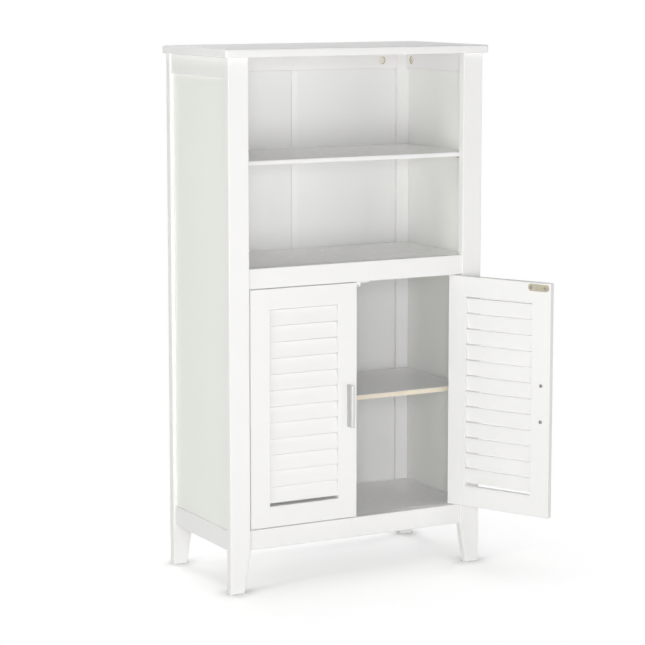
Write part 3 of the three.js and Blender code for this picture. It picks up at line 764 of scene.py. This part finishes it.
# %% [markdown]
# ## Cam locks
# A cam lock is a die-cast zinc drum in a bore of the rail, turned with a screwdriver to pull the leg tight.
# Its cross-slotted face lies a little below the paint, and the wall of the bore is bare brown fibreboard.
# The screw tree makes the drum, as a tall head with a wide cross, and a small second tree lines the bore.
# A disc laid on the paint would be simpler, but only a sunk face gets the thin shadow that the real one has.

# %% Tree that sets flat rings
ring_corners = 40
ring_tree = bpy.data.node_groups.new("flat_rings", "GeometryNodeTree")
ring_tree.interface.new_socket("Points", in_out="INPUT", socket_type="NodeSocketGeometry")
for size_name in ("Radius", "Width", "Height"):
    ring_tree.interface.new_socket(size_name, in_out="INPUT", socket_type="NodeSocketFloat")
ring_tree.interface.new_socket("Material", in_out="INPUT", socket_type="NodeSocketMaterial")
ring_tree.interface.new_socket("Rings", in_out="OUTPUT", socket_type="NodeSocketGeometry")
given = add(ring_tree, "NodeGroupInput").outputs
path = add(ring_tree, "GeometryNodeCurvePrimitiveCircle",
           {"Resolution": ring_corners, "Radius": given["Radius"]}).outputs[0]
section = add(ring_tree, "GeometryNodeCurvePrimitiveQuadrilateral",
              {"Width": given["Width"], "Height": given["Height"]}).outputs[0]
ring = add(ring_tree, "GeometryNodeCurveToMesh", {"Curve": path, "Profile Curve": section}).outputs[0]
facing = add(ring_tree, "GeometryNodeInputNamedAttribute", {"Name": "facing"},
             data_type="FLOAT_VECTOR").outputs[0]
upright = add(ring_tree, "FunctionNodeAlignRotationToVector", {"Vector": facing}, axis="Z").outputs[0]
copies = add(ring_tree, "GeometryNodeInstanceOnPoints",
             {"Points": given["Points"], "Instance": ring, "Rotation": upright}).outputs[0]
solid = add(ring_tree, "GeometryNodeRealizeInstances", {"Geometry": copies}).outputs[0]
finished = add(ring_tree, "GeometryNodeSetMaterial",
               {"Geometry": solid, "Material": given["Material"]}).outputs[0]
add(ring_tree, "NodeGroupOutput", {"Rings": finished})
print("ring tree:", len(ring_tree.nodes), "nodes")

# %% Bare board inside the bores
# Fibreboard as the drill leaves it: matt, brown and fibrous, darker than a sanded edge
bare_board, tree = new_material("bare_fibreboard_in_a_bore")
surface = add(tree, "ShaderNodeBsdfPrincipled",
              {"Base Color": fibres(tree, ("A98B66", "C4A883")), "Roughness": bare_roughness})
add(tree, "ShaderNodeOutputMaterial", {"Surface": surface.outputs[0]})
print(bare_board.name, "has", len(tree.nodes), "nodes")

# %% Where the cam locks sit in the rails' inner faces
back_cam_from_leg = 32 * mm
side_cam_from_leg = 18 * mm
cam_drop = 2.5 * mm
rear_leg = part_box("rear_left_leg")
cam_faces = []
for level in ("top", "bottom"):
    low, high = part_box("back_" + level + "_rail")
    cam_z = (low.z + high.z) / 2 - cam_drop
    reach = middle.x - rear_leg[1].x - back_cam_from_leg
    for side in (-1, 1):
        cam_faces.append((Vector((middle.x + side * reach, low.y, cam_z)), Vector((0, -1, 0))))
    reach = rear_leg[0].y - middle.y - side_cam_from_leg
    for side, name in ((-1, "left"), (1, "right")):
        low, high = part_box(name + "_side_" + level + "_rail")
        face = high.x if side < 0 else low.x
        for end in (-1, 1):
            cam_faces.append((Vector((face, middle.y + end * reach, cam_z)), Vector((-side, 0, 0))))
print(len(cam_faces), "cam locks")

# %% Cam locks and the linings of their bores
# A drum is a little narrower than its bore, and the lining stops short of the bore's mouth and its floor
bore_radius = 7 * mm
bore_depth = 11 * mm
cam_sink = 1.2 * mm
cam_height = 9 * mm
cam_play = 0.6 * mm
wall_thickness = 0.1 * mm
wall_play = 0.2 * mm
cam_head = {"Radius": bore_radius - cam_play, "Height": cam_height, "Dome": 0.1, "Recess Length": 8 * mm,
            "Recess Width": 2.2 * mm, "Recess Depth": 2.5 * mm, "Material": cast_zinc}
bore_wall = {"Radius": bore_radius - wall_play, "Width": wall_thickness,
             "Height": bore_depth - 2 * wall_play, "Material": bare_board}
cam_spots = [(place - way * (cam_sink + cam_height), way) for place, way in cam_faces]
wall_spots = [(place - way * bore_depth / 2, way) for place, way in cam_faces]
set_at(head_tree, "cam_locks", "carcass", "plated_steel", cam_spots, Seed=6, **cam_head)
set_at(ring_tree, "cam_bore_walls", "carcass", "white_paint", wall_spots, **bore_wall)

# %% [markdown]
# ## Poles of the magnetic catch
# Two small steel poles stand out of the catch, one for each door's strike plate.
# They could be turned as the screws are, but the real ones are flat ovals with square edges.
# So an outline of two half circles is drawn and pulled out to its depth, which leaves those edges square.

# %% Oval poles by mesh code
import bmesh

pole_half_width = 2.4 * mm
pole_half_height = 1.4 * mm
pole_stand = 0.45 * mm
pole_from_middle = 7.1 * mm
pole_rise = 2.6 * mm
pole_steps = 10
pole_mesh = bpy.data.meshes.new("catch_poles")
bench = bmesh.new()
for side in (-1, 1):
    outline = []
    for half in (0, 1):
        for step in range(pole_steps + 1):
            angle = math.pi * (half + step / pole_steps) - math.pi / 2
            shift = (pole_half_width - pole_half_height) * (1 if half == 0 else -1)
            outline.append((shift + pole_half_height * math.cos(angle), pole_half_height * math.sin(angle)))
    pole_x = middle.x + side * pole_from_middle
    pole_z = catch_low.z + pole_rise
    rim = [bench.verts.new((pole_x + dx, catch_low.y, pole_z + dz)) for dx, dz in outline]
    face = bench.faces.new(rim)
    grown = bmesh.ops.extrude_face_region(bench, geom=[face])
    lifted = [item for item in grown["geom"] if isinstance(item, bmesh.types.BMVert)]
    bmesh.ops.translate(bench, verts=lifted, vec=(0, -pole_stand, 0))
bmesh.ops.recalc_face_normals(bench, faces=bench.faces)
bench.to_mesh(pole_mesh)
bench.free()
pole_mesh.materials.append(pole_steel)
poles = bpy.data.objects.new("catch_poles", pole_mesh)
bpy.context.scene.collection.objects.link(poles)
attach(poles, "carcass")
print("catch poles:", len(pole_mesh.polygons), "faces")
